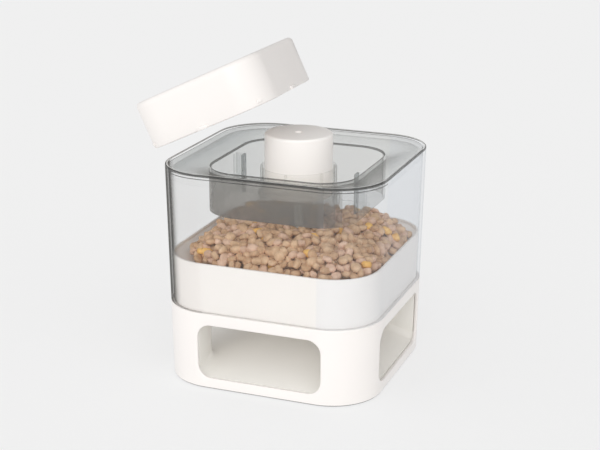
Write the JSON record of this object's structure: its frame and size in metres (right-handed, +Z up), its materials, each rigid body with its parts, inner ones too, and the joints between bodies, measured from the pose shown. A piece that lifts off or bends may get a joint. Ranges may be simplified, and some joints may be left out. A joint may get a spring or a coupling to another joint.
{
  "type": "automatic pet feeder",
  "caption": "Square push-to-feed pet food dispenser: clear hopper on a white base with a feeding window in each side, a sprung centre button on a valve rod and a lift-off lid.",
  "frame": {"origin": "middle of the base's underside, on the surface the feeder stands on", "axes": "+Z up, -Y towards the front window, +X to the right; the lifted lid hangs over the -X side"},
  "size_m": [0.2319, 0.195, 0.2826],
  "materials": {
    "white_shell": "smooth moulded ABS, satin to gloss",
    "white_button": "smooth moulded ABS, satin top",
    "white_tray": "smooth moulded ABS",
    "white_floor": "smooth moulded ABS",
    "clear_shell": "clear polished plastic with a faint grey tint",
    "steel": "bright steel wire and screws",
    "soft_grey": "matt silicone rubber",
    "nylon": "natural nylon",
    "dry_food": "matt, dry, slightly greasy kibble"
  },
  "bodies": {
    "base_and_hopper": {"base_shell": "white_shell", "feeding_tray": "white_tray", "bottom_plate": "white_shell", "foot_pad_1": "soft_grey", "foot_pad_2": "soft_grey", "foot_pad_3": "soft_grey", "foot_pad_4": "soft_grey", "base_screw_1": "steel", "base_screw_2": "steel", "base_screw_3": "steel", "base_screw_4": "steel", "deck_screw_1": "steel", "deck_screw_2": "steel", "deck_screw_3": "steel", "deck_screw_4": "steel", "hopper_floor": "white_floor", "hopper_wall": "clear_shell", "filler_throat": "clear_shell", "guide_spider": "clear_shell", "guide_tube": "clear_shell", "kibble_fill": "dry_food", "return_spring": "steel"},
    "plunger": {"button_cap": "white_button", "plunger_rod": "nylon", "valve_plug": "white_tray", "valve_seal": "soft_grey", "valve_nut": "nylon"},
    "lid": {"lid_shell": "white_shell", "lid_press_pad": "soft_grey"}
  },
  "joints": [
    {"name": "button_press", "type": "slide", "parent": "base_and_hopper", "child": "plunger", "axis": [0, 0, -1], "range_m": [0, 0.007], "stiffness_N_per_m": 600, "springref_m": -0.01, "deforming": ["return_spring"]},
    {"name": "lid_swing", "type": "hinge", "parent": "plunger", "child": "lid", "pos_m": [-0.10054, 0, 0.06754], "axis": [0, 1, 0], "range_deg": [-25, 25.4]}
  ]
}
